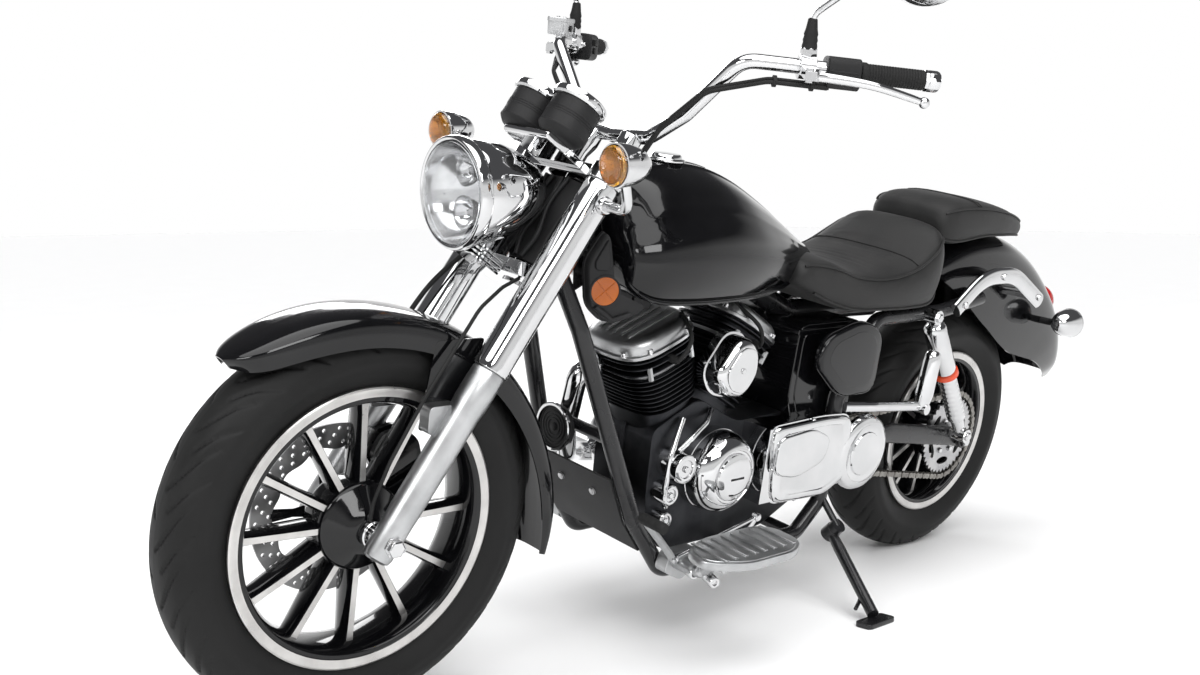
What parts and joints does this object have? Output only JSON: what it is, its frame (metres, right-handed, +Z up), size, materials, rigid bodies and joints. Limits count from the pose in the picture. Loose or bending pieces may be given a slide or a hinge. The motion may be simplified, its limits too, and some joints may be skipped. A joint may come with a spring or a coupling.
{
  "type": "cruiser motorcycle",
  "caption": "Cruiser motorcycle parked on its side stand, with cast wheels, a V-twin engine, a teardrop tank, footboards, twin exhausts and separate rider and pillion seats.",
  "frame": {"origin": "centre of the bounding box, on the ground under the motorcycle", "axes": "+X towards the front wheel, +Y towards the rider's left, +Z up; the motorcycle leans to its left on its side stand"},
  "size_m": [2.5165, 1.121, 1.4181],
  "materials": {
    "chrome": "polished plate",
    "satin_alloy": "satin",
    "dark_alloy": "dark grey cast",
    "plain_steel": "ground",
    "gloss_black": "deep gloss",
    "wheel_black": "gloss black with a machined rim lip and spoke faces",
    "frame_black": "semi-gloss",
    "matte_black": "fine grain",
    "tyre_rubber": "matte",
    "grip_rubber": "matte",
    "saddle_cover": "fine grain",
    "clear_lens": "clear",
    "red_lens": "gloss"
  },
  "bodies": {
    "chassis": {"alternator_cover": "chrome", "chain": "plain_steel", "chin_panel": "matte_black", "clutch_cover": "chrome", "crankcase": "dark_alloy", "fender_strut_left": "chrome", "fender_strut_right": "chrome", "footboard_left": "satin_alloy", "footboard_right": "satin_alloy", "frame": "frame_black", "front_cylinder": "dark_alloy", "front_exhaust": "chrome", "front_head_cover": "satin_alloy", "fuel_tank": "gloss_black", "horn": "frame_black", "intake_cover": "chrome", "neck_cover_left": "matte_black", "neck_cover_right": "matte_black", "pillion_peg_left": "chrome", "pillion_peg_right": "chrome", "pillion_seat": "saddle_cover", "rear_cylinder": "dark_alloy", "rear_exhaust": "chrome", "rear_fender": "gloss_black", "rear_head_cover": "satin_alloy", "rear_signal_left": "chrome", "rear_signal_right": "chrome", "rider_seat": "saddle_cover", "shock_left": "chrome", "shock_right": "chrome", "side_panel_left": "gloss_black", "side_panel_right": "gloss_black", "sprocket_cover": "chrome", "swingarm": "frame_black", "tail_lamp": "red_lens"},
    "steering": {"controls_left": "chrome", "controls_right": "chrome", "fork_lower_legs": "satin_alloy", "fork_yokes": "chrome", "front_brake_caliper": "frame_black", "front_fender": "gloss_black", "front_signal_left": "chrome", "front_signal_right": "chrome", "gauges": "matte_black", "grip_left": "grip_rubber", "grip_right": "grip_rubber", "handlebar": "chrome", "headlamp": "chrome", "headlamp_lens": "clear_lens", "speedometer_cable": "grip_rubber"},
    "front_wheel": {"front_brake_disc": "plain_steel", "front_rim": "wheel_black", "front_tyre": "tyre_rubber"},
    "rear_wheel": {"rear_brake_disc": "plain_steel", "rear_rim": "wheel_black", "rear_sprocket": "plain_steel", "rear_tyre": "tyre_rubber"},
    "stand": {"side_stand": "frame_black"}
  },
  "joints": [
    {"name": "steering_turn", "type": "hinge", "parent": "chassis", "child": "steering", "pos_m": [0.55558, -0.09116, 0.80483], "axis": [-0.5454, 0.1557, 0.8236], "range_deg": [-26, 34]},
    {"name": "front_wheel_spin", "type": "hinge", "parent": "steering", "child": "front_wheel", "pos_m": [0.92183, -0.18353, 0.33328], "axis": [0.0586, 0.9873, -0.1478], "continuous": true},
    {"name": "rear_wheel_spin", "type": "hinge", "parent": "chassis", "child": "rear_wheel", "pos_m": [-0.72805, -0.18544, 0.30461], "axis": [0.0002, 0.9826, -0.1857], "continuous": true},
    {"name": "side_stand_fold", "type": "hinge", "parent": "chassis", "child": "stand", "pos_m": [-0.19787, -0.04254, 0.14583], "axis": [-0.0007, 0.7463, 0.6656], "range_deg": [0, 110]}
  ]
}
